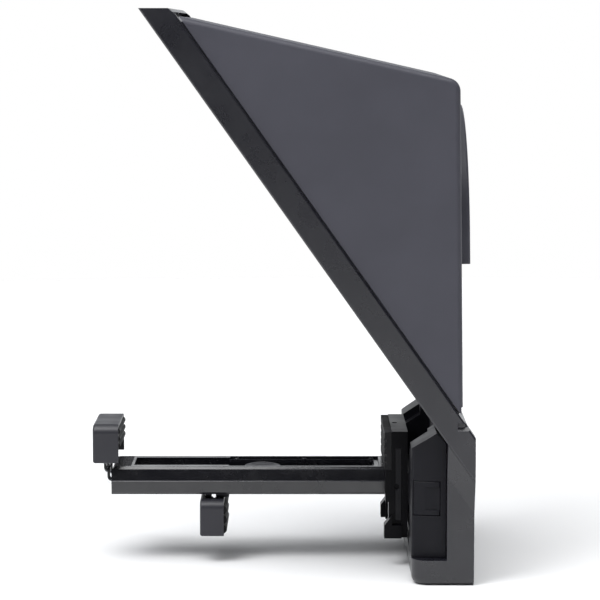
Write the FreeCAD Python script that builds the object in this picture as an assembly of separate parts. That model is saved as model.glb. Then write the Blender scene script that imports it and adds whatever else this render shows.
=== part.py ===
import FreeCAD, Part
import math
import os

# Teleprompter for a phone or small tablet.
# +X points to the camera behind it, -X to the speaker, Y runs across its width, +Z is up.
# The origin is the mouth of the tripod socket, in the middle of the flat underside. Millimetres.

V = FreeCAD.Vector
os.makedirs("parts", exist_ok=True)

# ---- driving dimensions ----
HALF_WIDTH = 72.0          # outer face of the proud side bars
LEG_HALF_WIDTH = 65.5      # outer face of the legs and the foot
CHEEK_HALF_WIDTH = 59.5    # outer face of the dock's cheeks
FRAME_TOP_X = -127.2       # upper front corner of the glass frame
FRAME_TOP_Z = 245.5
FRAME_ANGLE = 54.7         # of the glass frame above the horizontal, degrees
BAR_DEPTH = 11.2           # of the glass frame, square to the glass
REAR_X = 14.5              # rear face of the legs
PANEL_X = 11.5             # rear face of the panel between the legs
PANEL_THICK = 3.0
LEG_FRONT_X = 2.9
FOOT_FRONT_X = -12.0
FOOT_HEIGHT = 10.9
WALL = 2.5                 # moulded walls of the base
SHELL = 2.2                # moulded walls of the hood
FIT = 0.3                  # clearance between neighbours on different bodies

GLASS_THICK = 2.0
GASKET_THICK = 0.8
LIP_THICK = 3.0            # front lip of the glass frame
RETAINER_THICK = 2.5
WINDOW_HALF = 61.5         # clear opening, half width
GLASS_HALF = 64.5
REBATE_HALF = 69.0
WINDOW_TOP_S = 15.0        # distances down the slope from the upper front corner
WINDOW_LOW_S = 206.5
GLASS_TOP_S = 12.0
GLASS_LOW_S = 209.5
REBATE_TOP_S = 9.5
REBATE_LOW_S = 212.5
LOW_BAR_S = 219.0
RETAINER_SCREW_S = (26.0, 84.0, 142.0, 200.0)
RETAINER_SCREW_Y = 66.8
GLASS_W = LIP_THICK + GASKET_THICK     # front face of the glass, behind the frame's front face
RETAINER_W = GLASS_W + GLASS_THICK
RAMP = 8.2                 # width of the slope between a proud bar and its leg
NOTCH_X = 6.8              # of the catch windows, in the rear lower ends of the bars
NOTCH_Z = (67.9, 69.2, 71.2)     # foot of its sloped sill, top of the sill, roof
NOTCH_SILL = 1.5

HOOD_GAP = 0.7             # shadow gap between hood and frame
HOOD_HALF_WIDTH = 70.4
HOOD_TOP_Z = 242.3         # where the hood's top leaves the frame
HOOD_TOP_SLOPE = 0.2271
HOOD_REAR_X = 9.07         # rear wall at HOOD_REAR_Z, drafted inwards above it
HOOD_REAR_Z = 81.0
HOOD_DRAFT = 0.79          # degrees
HOOD_FOOT_Z = 77.7
HOOD_LIP_Z = 79.8          # lower end of the lip that reaches into the glass frame
GAP_RIB_S = (211.4, 217.4) # ribs on the frame that close the shadow gap below that lip
GAP_RIB_Y = (62.4, 66.0)

PORT_Z = 148.0             # lens axis above the underside
PORT_R = 43.5
ARCH_OUTER_R = 56.0
ARCH_GROOVE_R = 50.6       # takes the 100 mm flange of a lens ring
ARCH_LIP_R = 47.0
ARCH_DEPTH = 4.4
ARCH_LIP = 1.1
ARCH_FOOT_Z = 137.3
ARCH_SCREWS = [(-53.3, -6.0), (53.3, -6.0), (-30.0, 44.05), (30.0, 44.05)]     # from the lens axis

DOCK_VOID_HALF = 34.0
DOCK_BACK_X = 0.0
DOCK_REAR_X = 2.7
DOCK_TOP_Z = 65.0
BUTTON_X = (-11.2, 0.1)
BUTTON_Z = (29.3, 44.0)
BUTTON_TRAVEL = 2.0
BUTTON_FLOOR = 46.0        # of the pocket that the cap sinks into
BUTTON_BACK = 50.5
BUTTON_MID_X = (BUTTON_X[0] + BUTTON_X[1]) / 2
BUTTON_MID_Z = (BUTTON_Z[0] + BUTTON_Z[1]) / 2
STEM_R = 2.4
STEM_END = 26.6
DOCK_SCREWS = [(y, z) for y in (-45.0, 45.0) for z in (21.0, 54.0)]
HEAD_SINK = 2.2            # depth of the seats of the dock screws in the rear panel

ARM_HALF = 17.0
ARM_Z = (30.8, 43.0)
ARM_X = (-143.8, -19.4)
ARM_SEAM_Z = 37.0
SLOT_HALF = 10.0
CAVITY_X = (-140.3, -27.0)
COVER_SCREWS = [(x, y) for x in (-88.5, -58.0, -27.5) for y in (-11.2, 11.2)]

BRACKET_HALF = 26.0
BRACKET_FRONT_X = -22.7
BRACKET_X = (-19.4, -12.4)
BRACKET_Z = (13.2, 60.5)
BRACKET_FOOT_HALF = 28.5   # its lower end is wider
HOOK_HALF = 21.5           # the two hooks lie between this and the foot's half width
HOOK_Z = (19.0, 23.4)      # of the ramp on top of the hooks
GUARD_X = -22.2            # front of the two blocks beside the arm's root
GUARD_STEP_X = -20.7       # and below them
GUARD_LOW_Z = 29.0
TONGUE_SCREW_Y = (-13.6, 13.6)
TONGUE_SCREW_Z = 37.0

JAW_HALF = 19.5
JAW_EDGE = 4.0             # radius of the jaws' upper side edges
PAD_RECESS = 3.2
FRONT_JAW_X = (-151.8, -140.4)
FRONT_JAW_Z = (45.2, 62.3)
FRONT_PAD_Z = (51.2, 60.8)
FRONT_PAD_REACH = 0.8
PHONE_JAW_X = (-104.4, -93.8)
PHONE_JAW_Z = (12.4, 28.5)
PHONE_PAD_Z = (13.0, 26.2)
PHONE_PAD_REACH = 1.4
ROD_R = 1.5
ROD_Y = 8.0
ROD_Z = 35.4
ROD_X = -146.4
PIN_X = -98.1
PIN_Y = 12.6
PIN_R = 1.3
PIN_TOP_Z = 36.4
DISC_X = -76.8
DISC_R = 8.0
CARRIAGE_X = (-100.0, -68.0)
SPRING_Y = 6.0
SPRING_END = -27.3

TRIPOD_BORE_R = 2.75       # 1/4-20 thread, drawn as a plain bore near its minor radius
TRIPOD_INSERT_R = 5.5
TRIPOD_INSERT_LENGTH = 8.3
PLATE_SCREW_X = 1.0
PLATE_SCREW_Y = (-50.0, -22.0, 22.0, 50.0)
PLATE_SCREWS = [(PLATE_SCREW_X, y) for y in PLATE_SCREW_Y]

U = V(math.cos(math.radians(FRAME_ANGLE)), 0, -math.sin(math.radians(FRAME_ANGLE)))
N = V(math.sin(math.radians(FRAME_ANGLE)), 0, math.cos(math.radians(FRAME_ANGLE)))
TAN = math.tan(math.radians(FRAME_ANGLE))
SIN = math.sin(math.radians(FRAME_ANGLE))


# ---- helpers ----
def box(x0, x1, y0, y1, z0, z1):
    return Part.makeBox(x1 - x0, y1 - y0, z1 - z0, V(x0, y0, z0))


def rod(r, start, direction, length):
    return Part.makeCylinder(r, length, V(*start), V(*direction))


def prism(points, y0, y1):
    """Outline in the XZ plane, drawn out from y0 to y1."""
    corners = [V(x, y0, z) for x, z in points]
    face = Part.Face(Part.makePolygon(corners + corners[:1]))
    return face.extrude(V(0, y1 - y0, 0))


def plan(points, z0, z1):
    """Outline in the XY plane, drawn out from z0 to z1."""
    corners = [V(x, y, z0) for x, y in points]
    face = Part.Face(Part.makePolygon(corners + corners[:1]))
    return face.extrude(V(0, 0, z1 - z0))


def across(points, x0, x1):
    """Outline in the YZ plane, drawn out from x0 to x1."""
    corners = [V(x0, y, z) for y, z in points]
    face = Part.Face(Part.makePolygon(corners + corners[:1]))
    return face.extrude(V(x1 - x0, 0, 0))


def other_side(shape):
    return shape.mirror(V(0, 0, 0), V(0, 1, 0))


def pair(shape):
    return [shape, other_side(shape)]


def fuse(shapes):
    whole = shapes[0]
    for shape in shapes[1:]:
        whole = whole.fuse(shape)
    return whole.removeSplitter()


def cut(shape, tools):
    for tool in tools:
        shape = shape.cut(tool)
    return shape


def rounded(shape, radius, chosen):
    """Round the straight edges that the test picks."""
    edges = [e for e in shape.Edges if chosen(e)]
    return shape.makeFillet(radius, edges) if edges else shape


def runs_along(edge, axis):
    ends = [v.Point for v in edge.Vertexes]
    if len(ends) < 2:
        return False
    d = (ends[1] - ends[0]).normalize()
    return abs(d.dot(axis)) > 0.999 and edge.Curve.TypeId == "Part::GeomLine"


def sloped(s, w):
    """Point s down the slope and w behind the front face of the glass frame."""
    p = V(FRAME_TOP_X, 0, FRAME_TOP_Z) + U * s + N * w
    return (p.x, p.z)


def slab(s0, s1, w0, w1, y0, y1):
    return prism([sloped(s0, w0), sloped(s1, w0), sloped(s1, w1), sloped(s0, w1)], y0, y1)


def on_slope_at_z(z, w):
    return (FRAME_TOP_X + (FRAME_TOP_Z - z) / TAN + w / SIN, z)


def on_slope_at_x(x, w):
    return (x, FRAME_TOP_Z - (x - FRAME_TOP_X - w / SIN) * TAN)


def coil(mean_r, wire_r, pitch, length, start, axis):
    """Coil spring from start along the axis."""
    helix = Part.makeHelix(pitch, length, mean_r)
    profile = Part.Wire(Part.makeCircle(wire_r, V(mean_r, 0, 0), V(0, 1, 0)))
    spring = Part.Wire(helix).makePipeShell([profile], True, True)
    turn = FreeCAD.Rotation(V(0, 0, 1), V(*axis))
    spring.Placement = FreeCAD.Placement(V(*start), turn)
    return spring


def screw(head_r, head_h, shank_r, length, start, axis):
    """Pan-head screw: start is the seat of its head, axis points out of the head."""
    a = V(*axis)
    head = Part.makeCylinder(head_r, head_h, V(*start), a)
    slot = Part.makeCylinder(head_r * 0.42, head_h * 0.6, V(*start) + a * (head_h * 0.45), a)
    shank = Part.makeCylinder(shank_r, length, V(*start) - a * length, a)
    return head.cut(slot).fuse(shank).removeSplitter()


def save(name, solids):
    shape = solids[0] if len(solids) == 1 else Part.makeCompound(solids)
    if len(shape.Solids) == 1:
        shape = shape.Solids[0]
    shape.exportStep("parts/" + name + ".step")
    print(name, len(shape.Solids), "valid", shape.isValid(), "volume", round(shape.Volume))


# ---- glass frame, legs, foot and rear panel: one moulding ----
def strip_outline(low_s=None):
    """Side view of a frame bar: flat on top, with its rear upper corner taken off."""
    top = [(FRAME_TOP_X, FRAME_TOP_Z), (FRAME_TOP_X + 12.4, FRAME_TOP_Z)]
    corner = on_slope_at_z(FRAME_TOP_Z - 2.4, BAR_DEPTH)
    if low_s is None:
        end = [on_slope_at_x(REAR_X, BAR_DEPTH), on_slope_at_x(REAR_X, 0)]
    else:
        end = [sloped(low_s, BAR_DEPTH), sloped(low_s, 0)]
    return top + [corner] + end


def side_bar():
    """Proud side bar on the +Y side, with the leg under it and the ramp between them."""
    bar = prism(strip_outline(), WINDOW_HALF, HALF_WIDTH)
    bar = rounded(bar, 0.8, lambda e: runs_along(e, U) and e.CenterOfMass.y > HALF_WIDTH - 0.1)
    high = on_slope_at_x(LEG_FRONT_X, BAR_DEPTH * 0.5)[1]
    low = FOOT_HEIGHT - 1.0
    leg = prism([(LEG_FRONT_X, low), (REAR_X, low), (REAR_X, 60.0), (LEG_FRONT_X, high)], 55.0,
                LEG_HALF_WIDTH)
    foot_of_ramp = [V(0, LEG_HALF_WIDTH, 0), V(0, HALF_WIDTH - 0.4, 0), V(0, LEG_HALF_WIDTH, 0) - N * RAMP]
    start = V(FRAME_TOP_X, 0, FRAME_TOP_Z) + U * 200.0
    corners = [start + p for p in foot_of_ramp]
    wedge = Part.Face(Part.makePolygon(corners + corners[:1])).extrude(U * 60.0)
    wedge = wedge.common(box(LEG_FRONT_X, REAR_X, 50, 80, 0, 80))
    return fuse([bar, leg, wedge])


def foot():
    """Hollow foot: rounded in plan at its front corners and along its lower front edge."""
    block = box(FOOT_FRONT_X, REAR_X, -LEG_HALF_WIDTH, LEG_HALF_WIDTH, 0, FOOT_HEIGHT)
    block = rounded(block, 7.0, lambda e: runs_along(e, V(0, 0, 1)) and e.CenterOfMass.x < 0)
    block = rounded(block, 3.4, lambda e: abs(e.CenterOfMass.z) < 0.01 and e.CenterOfMass.x < REAR_X - 1
                    and not (runs_along(e, V(1, 0, 0))))
    hollow = box(FOOT_FRONT_X + 5.0, REAR_X - WALL, -58.0, 58.0, 0, FOOT_HEIGHT - WALL)
    return block.cut(hollow)


def main_frame():
    left = side_bar()
    top_bar = prism(strip_outline(WINDOW_TOP_S + 8.5), -HALF_WIDTH + 1, HALF_WIDTH - 1)
    top_bar = top_bar.common(prism([(-140, 260), (-90, 260), sloped(WINDOW_TOP_S, 30),
                                    sloped(WINDOW_TOP_S, -20)], -80, 80))
    low_bar = slab(WINDOW_LOW_S, LOW_BAR_S, 0, BAR_DEPTH, -62, 62)
    panel_top = on_slope_at_x(PANEL_X, BAR_DEPTH)
    panel_low = on_slope_at_x(PANEL_X, BAR_DEPTH - PANEL_THICK)
    deck = prism([sloped(LOW_BAR_S - 1, BAR_DEPTH), panel_top, panel_low,
                  sloped(LOW_BAR_S - 1, BAR_DEPTH - PANEL_THICK)], -62, 62)
    inner_x = PANEL_X - PANEL_THICK
    rear_panel = prism([(inner_x, 8), (PANEL_X, 8), panel_top, on_slope_at_x(inner_x, BAR_DEPTH)], -62, 62)
    tripod_boss = rod(9.0, (0, 0, 0), (0, 0, 1), FOOT_HEIGHT - 1)
    plate_bosses = [rod(3.5, (x, y, 2.0), (0, 0, 1), 7.0) for x, y in PLATE_SCREWS]
    dock_bosses = [rod(4.0, (DOCK_REAR_X + 0.1, y, z), (1, 0, 0), PANEL_X - DOCK_REAR_X - 1)
                   for y, z in DOCK_SCREWS]
    body = fuse([left, other_side(left), top_bar, low_bar, deck, rear_panel, foot(), tripod_boss]
                + plate_bosses + dock_bosses)
    rebate = slab(REBATE_TOP_S, REBATE_LOW_S, LIP_THICK, 30, -REBATE_HALF, REBATE_HALF)
    window = slab(WINDOW_TOP_S, WINDOW_LOW_S, -5, 30, -WINDOW_HALF, WINDOW_HALF)
    body = body.cut(rebate).cut(window)
    rib = slab(*GAP_RIB_S, BAR_DEPTH - 1.0, BAR_DEPTH + HOOD_GAP - 0.15, *GAP_RIB_Y)
    body = fuse([body] + retainer_posts() + pair(rib))
    tools = [rod(0.95, s, d, 3.9) for s, d in retainer_holes()]
    tools += [rod(TRIPOD_INSERT_R, (0, 0, -1), (0, 0, 1), 9.3)]
    tools += [rod(1.3, (x, y, 1), (0, 0, 1), 7.0) for x, y in PLATE_SCREWS]
    tools += [rod(1.7, (0, y, z), (1, 0, 0), 30) for y, z in DOCK_SCREWS]
    tools += [rod(3.4, (PANEL_X - HEAD_SINK, y, z), (1, 0, 0), 2 * HEAD_SINK) for y, z in DOCK_SCREWS]
    foot_z, sill_z, roof_z = NOTCH_Z
    notch = box(NOTCH_X, 20, 66.0, 80, sill_z, roof_z)
    sill = across([(HALF_WIDTH - NOTCH_SILL, sill_z), (HALF_WIDTH + 1, sill_z), (HALF_WIDTH + 1, foot_z),
                   (HALF_WIDTH, foot_z)], NOTCH_X, 20)
    tools += pair(notch) + pair(sill)
    return cut(body, tools)


def slope_point(s, y, w):
    x, z = sloped(s, w)
    return (x, y, z)


def retainer_posts():
    return [rod(1.7, slope_point(s, side * RETAINER_SCREW_Y, LIP_THICK - 0.5), (N.x, 0, N.z),
                RETAINER_W - LIP_THICK + 0.5)
            for s in RETAINER_SCREW_S for side in (-1, 1)]


def retainer_holes():
    return [(slope_point(s, side * RETAINER_SCREW_Y, RETAINER_W - 3.8), (N.x, 0, N.z))
            for s in RETAINER_SCREW_S for side in (-1, 1)]


def ring_slab(s0, s1, w0, w1, half, inner_s0, inner_s1, inner_half):
    outer = slab(s0, s1, w0, w1, -half, half)
    return outer.cut(slab(inner_s0, inner_s1, w0 - 1, w1 + 1, -inner_half, inner_half))


def glass_parts():
    save("glass_gasket", [ring_slab(GLASS_TOP_S, GLASS_LOW_S, LIP_THICK, GLASS_W, GLASS_HALF,
                                    WINDOW_TOP_S, WINDOW_LOW_S, WINDOW_HALF)])
    save("beam_splitter_glass", [slab(GLASS_TOP_S, GLASS_LOW_S, GLASS_W, RETAINER_W,
                                      -GLASS_HALF, GLASS_HALF)])
    ring = ring_slab(REBATE_TOP_S + 0.2, REBATE_LOW_S - 0.2, RETAINER_W, RETAINER_W + RETAINER_THICK,
                     REBATE_HALF - 0.2, WINDOW_TOP_S, WINDOW_LOW_S, WINDOW_HALF)
    holes = [rod(1.1, slope_point(s, side * RETAINER_SCREW_Y, 0), (N.x, 0, N.z), 20)
             for s in RETAINER_SCREW_S for side in (-1, 1)]
    save("glass_retainer", [cut(ring, holes)])
    seats = [slope_point(s, side * RETAINER_SCREW_Y, RETAINER_W + RETAINER_THICK)
             for s in RETAINER_SCREW_S for side in (-1, 1)]
    save("retainer_screws", [screw(1.9, 1.1, 0.9, 5.8, seat, (N.x, 0, N.z)) for seat in seats])


# ---- foot closure and tripod socket ----
def base_parts():
    x0 = FOOT_FRONT_X + 5.2
    plate = box(x0, REAR_X - WALL - 0.2, -57.8, 57.8, 0, 2.0)
    holes = [rod(9.2, (0, 0, -1), (0, 0, 1), 5)]
    holes += [rod(1.5, (x, y, -1), (0, 0, 1), 5) for x, y in PLATE_SCREWS]
    holes += [rod(2.7, (x, y, -1), (0, 0, 1), 2.2) for x, y in PLATE_SCREWS]
    save("base_plate", [cut(plate, holes)])
    save("base_plate_screws", [screw(2.5, 1.0, 1.2, 6.0, (x, y, 1.2), (0, 0, -1))
                               for x, y in PLATE_SCREWS])
    insert = rod(TRIPOD_INSERT_R, (0, 0, 0), (0, 0, 1), TRIPOD_INSERT_LENGTH)
    bore = rod(TRIPOD_BORE_R, (0, 0, -1), (0, 0, 1), TRIPOD_INSERT_LENGTH + 0.2)
    save("tripod_insert", [insert.cut(bore)])


# ---- dock between the legs, which holds the arm ----
def dock_block():
    """Two cheeks and a back wall: tops slope down to the front, sides draw in to the front."""
    half = CHEEK_HALF_WIDTH
    taper = 2.2
    outline = [(FOOT_FRONT_X, -half + taper), (FOOT_FRONT_X, half - taper), (-3.0, half),
               (DOCK_REAR_X, half), (DOCK_REAR_X, -half), (-3.0, -half)]
    block = plan(outline, FOOT_HEIGHT + 0.1, DOCK_TOP_Z)
    side = [(-20, 0), (-20, 53.1), (FOOT_FRONT_X, 58.2), (-1.4, DOCK_TOP_Z),
            (DOCK_REAR_X, 60.5), (DOCK_REAR_X, 0)]
    block = block.common(prism(side, -80, 80))
    block = rounded(block, 1.6, lambda e: runs_along(e, V(0, 0, 1)) and e.CenterOfMass.x < -11)
    void = box(-30, DOCK_BACK_X, -DOCK_VOID_HALF, DOCK_VOID_HALF, 0, 90)
    block = block.cut(void)
    low_sill = box(FOOT_FRONT_X + 1.2, DOCK_BACK_X + 1, -DOCK_VOID_HALF - 1, DOCK_VOID_HALF + 1,
                   FOOT_HEIGHT + 0.1, 13.6)
    block = block.fuse(low_sill).removeSplitter()
    groove = prism([(-13, 53.6), (-4.2, 59.25), (-4.2, 70), (-13, 70)], DOCK_VOID_HALF - 1,
                   DOCK_VOID_HALF + 7)
    block = cut(block, pair(groove))
    windows = box(BUTTON_X[0] - 0.2, BUTTON_X[1] + 0.2, BUTTON_FLOOR, 70, BUTTON_Z[0] - 0.2,
                  BUTTON_Z[1] + 0.2)
    stems = rod(STEM_R + 0.1, (BUTTON_MID_X, 30, BUTTON_MID_Z), (0, 1, 0), 20)
    block = cut(block, pair(windows) + pair(stems))
    threads = [rod(1.5, (-8.0, y, z), (1, 0, 0), 20) for y, z in DOCK_SCREWS]
    return cut(block, threads)


def release_button():
    """Square cap flush with the cheek, on a stem that reaches the arm's tongue."""
    face = CHEEK_HALF_WIDTH
    outline = [(BUTTON_X[0], BUTTON_BACK), (BUTTON_X[1], BUTTON_BACK), (BUTTON_X[1], face),
               (-3.0, face), (BUTTON_X[0], face - 2.0)]
    cap = plan(outline, BUTTON_Z[0], BUTTON_Z[1])
    dish = rod(28.0, (BUTTON_MID_X, face + 27.0, BUTTON_MID_Z - 5.0), (0, 0, 1), 10.0)
    cap = rounded(cap, 0.5, lambda e: e.CenterOfMass.y > face - 2.3)
    stem = rod(STEM_R, (BUTTON_MID_X, STEM_END + BUTTON_TRAVEL, BUTTON_MID_Z), (0, 1, 0),
               BUTTON_BACK - STEM_END - BUTTON_TRAVEL + 1)
    return cap.cut(dish).fuse(stem).removeSplitter()


def dock_parts():
    save("dock_block", [dock_block()])
    save("dock_screws", [screw(3.0, 1.8, 1.45, 14.0, (PANEL_X - HEAD_SINK, y, z), (1, 0, 0))
                         for y, z in DOCK_SCREWS])
    left = release_button()
    save("release_button_left", [left])
    save("release_button_right", [other_side(left)])
    for name, side in (("left", 1), ("right", -1)):
        seat = (BUTTON_MID_X, side * (BUTTON_FLOOR + 0.5), BUTTON_MID_Z)
        length = BUTTON_BACK - BUTTON_FLOOR - 1.0
        save("button_spring_" + name, [coil(3.6, 0.3, length / 3, length, seat, (0, side, 0))])


def catch_parts():
    catch = box(NOTCH_X + 0.1, NOTCH_X + 3.2, 66.4, 71.0, NOTCH_Z[1] + 0.1, NOTCH_Z[2] - 0.1)
    save("hood_catches", pair(catch))


# ---- hood ----
def rear_x(z):
    return HOOD_REAR_X - math.tan(math.radians(HOOD_DRAFT)) * (z - HOOD_REAR_Z)


def hood_outline(inset, front_w):
    """Side view of the hood, drawn in by inset from its top and rear faces."""
    top = math.sqrt(1 + HOOD_TOP_SLOPE ** 2) * inset
    front_x, _ = on_slope_at_z(HOOD_TOP_Z, BAR_DEPTH)

    def top_z(x):
        return HOOD_TOP_Z - HOOD_TOP_SLOPE * (x - front_x) - top

    slope = 1 / TAN
    offset = FRAME_TOP_X + front_w / SIN
    x_front = (offset + (FRAME_TOP_Z - HOOD_TOP_Z - HOOD_TOP_SLOPE * front_x + top) * slope)
    x_front = x_front / (1 - HOOD_TOP_SLOPE * slope)
    x_rear = rear_x(top_z(HOOD_REAR_X)) - inset
    foot_x = rear_x(HOOD_FOOT_Z) - inset
    step_x = foot_x - 0.7
    return [(x_front, top_z(x_front)), (x_rear, top_z(x_rear)), (foot_x, HOOD_FOOT_Z),
            (step_x, HOOD_FOOT_Z), on_slope_at_x(step_x, front_w)]


def on_rear_wall(shape):
    """Place a shape drawn on the plane x = 0, around the lens axis, on the drafted rear wall."""
    turn = FreeCAD.Rotation(V(0, 1, 0), -HOOD_DRAFT)
    shape = shape.copy()
    place = V(rear_x(PORT_Z) + 0.02, 0, PORT_Z)
    shape.Placement = FreeCAD.Placement(place, turn).multiply(shape.Placement)
    return shape


def hood_shell():
    front = BAR_DEPTH + HOOD_GAP
    outer = prism(hood_outline(0, front), -HOOD_HALF_WIDTH, HOOD_HALF_WIDTH)
    outer = rounded(outer, 5.6, lambda e: runs_along(e, V(0, 1, 0)) and e.CenterOfMass.z > 200
                    and e.CenterOfMass.x > 0)
    outer = rounded(outer, 2.4, lambda e: abs(abs(e.CenterOfMass.y) - HOOD_HALF_WIDTH) < 0.01
                    and not runs_along(e, U) and e.CenterOfMass.z > HOOD_FOOT_Z + 1)
    inner = prism(hood_outline(SHELL, 2.0), -HOOD_HALF_WIDTH + SHELL, HOOD_HALF_WIDTH - SHELL)
    shell = outer.cut(inner)
    lip_out = prism(hood_outline(SHELL - 0.1, 9.8), -HOOD_HALF_WIDTH + SHELL - 0.1,
                    HOOD_HALF_WIDTH - SHELL + 0.1)
    lip_in = prism(hood_outline(SHELL + 1.5, 2.0), -HOOD_HALF_WIDTH + SHELL + 1.5,
                   HOOD_HALF_WIDTH - SHELL - 1.5)
    band = slab(-20, 240, 9.0, 18.0, -80, 80)
    lip = lip_out.cut(lip_in).common(band)
    keep_lip = prism([(-140, 300), (-140, 238.5), (-105, 231.0), (3.0, HOOD_LIP_Z), (60, HOOD_LIP_Z), (60, 300)],
                     -80, 80)
    shell = shell.fuse(lip.common(keep_lip)).removeSplitter()
    port = on_rear_wall(rod(PORT_R, (-20, 0, 0), (1, 0, 0), 40))
    holes = [on_rear_wall(rod(1.3, (-10, y, z), (1, 0, 0), 20)) for y, z in ARCH_SCREWS]
    return cut(shell, [port] + holes)


def arch():
    """Inverted U on the rear wall, grooved inside to take the flange of a lens ring from below."""
    low = ARCH_FOOT_Z - PORT_Z
    outline = rod(ARCH_OUTER_R, (0, 0, 0), (1, 0, 0), ARCH_DEPTH)
    outline = outline.common(box(-1, 20, -80, 80, 0, 80))
    legs = box(0, ARCH_DEPTH, -ARCH_OUTER_R, ARCH_OUTER_R, low, 0.0)
    solid = fuse([outline, legs])
    solid = rounded(solid, 1.2, lambda e: e.CenterOfMass.x > ARCH_DEPTH - 0.01 and
                    e.CenterOfMass.z > low + 0.1)
    for r, x0, x1 in ((ARCH_GROOVE_R, -1, ARCH_DEPTH - ARCH_LIP), (ARCH_LIP_R, -1, 20)):
        hole = rod(r, (x0, 0, 0), (1, 0, 0), x1 - x0)
        slot = box(x0, x1, -r, r, low - 5, 0)
        solid = solid.cut(fuse([hole, slot]))
    threads = [rod(1.1, (-1, y, z), (1, 0, 0), 3.6) for y, z in ARCH_SCREWS]
    return on_rear_wall(cut(solid, threads))


def hood_parts():
    save("hood_shell", [hood_shell()])
    save("lens_ring_arch", [arch()])
    seal = rod(49.0, (0, 0, 0), (1, 0, 0), 0.9).cut(rod(PORT_R + 0.5, (-1, 0, 0), (1, 0, 0), 4))
    save("port_seal", [on_rear_wall(seal)])
    save("arch_screws", [on_rear_wall(screw(2.4, 1.3, 1.05, 4.6, (-SHELL - 0.05, y, z), (-1, 0, 0)))
                         for y, z in ARCH_SCREWS])


# ---- bracket that clips into the dock ----
def bracket_parts():
    x0, x1 = BRACKET_X
    z0, z1 = BRACKET_Z
    body = box(x0, x1, -BRACKET_HALF, BRACKET_HALF, z0, z1)
    hook = [(BRACKET_FRONT_X, z0), (BRACKET_FRONT_X, HOOK_Z[0]), (x0 + 0.1, HOOK_Z[1]), (x0 + 0.1, z0)]
    hooks = pair(prism(hook, HOOK_HALF, BRACKET_FOOT_HALF))
    wings = pair(box(x0, x1 - 2.6, BRACKET_HALF - 1.0, BRACKET_FOOT_HALF, z0, HOOK_Z[0]))
    guard = box(GUARD_X, x0 + 0.1, ARM_HALF + FIT, BRACKET_HALF, GUARD_LOW_Z, ARM_Z[1] + 0.4)
    step = box(GUARD_STEP_X, x0 + 0.1, ARM_HALF + FIT, BRACKET_HALF, z0, GUARD_LOW_Z)
    body = fuse([body] + hooks + wings + pair(guard) + pair(step))
    rails = box(-17.8, -15.0, BRACKET_HALF - 0.5, BRACKET_HALF + 2, 20.8, 53.2)
    tools = pair(rails)
    tools += [rod(1.3, (-17.4, 0, z1 - 8), (0, 0, 1), 20)]
    tools += [rod(1.25, (-17.2, -40, 35.9), (0, 1, 0), 80)]
    tools += [rod(1.7, (-30, y, TONGUE_SCREW_Z), (1, 0, 0), 30) for y in TONGUE_SCREW_Y]
    body = cut(body, tools)
    save("bracket_body", [body])
    rail = box(-17.7, -15.1, BRACKET_HALF - 0.5, BRACKET_HALF + 0.2, 20.9, 53.1)
    rail = rail.cut(rod(1.25, (-17.2, 0, 35.9), (0, 1, 0), 80))
    save("bracket_side_rails", pair(rail))
    pin = rod(1.2, (-17.2, BRACKET_HALF - 7.0, 35.9), (0, 1, 0), 6.4)
    save("bracket_pins", pair(pin))
    pad = box(BRACKET_FRONT_X, x0, -BRACKET_HALF, BRACKET_HALF, ARM_Z[1] + 0.4, z1 - 0.3)
    groove_z = [ARM_Z[1] + 3.2 + 3.2 * i for i in range(4)]
    pad = cut(pad, [box(BRACKET_FRONT_X - 1, BRACKET_FRONT_X + 0.9, -40, 40, z, z + 1.1)
                    for z in groove_z])
    save("bracket_pad", [pad])
    tongue = box(x1, -1.0, -25.6, 25.6, 28.0, 42.0)
    tongue = rounded(tongue, 1.5, lambda e: runs_along(e, V(0, 0, 1)) and e.CenterOfMass.x > -2)
    tongue = cut(tongue, [box(-9.5, 3, -19, 19, 30.5, 40.2)])
    tongue = cut(tongue, [rod(1.7, (-14, y, TONGUE_SCREW_Z), (1, 0, 0), 20) for y in TONGUE_SCREW_Y])
    save("bracket_tongue", [tongue])
    save("bracket_screws", [screw(2.8, 1.6, 1.5, 11.0, (-9.5, y, TONGUE_SCREW_Z), (1, 0, 0))
                            for y in TONGUE_SCREW_Y])


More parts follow.
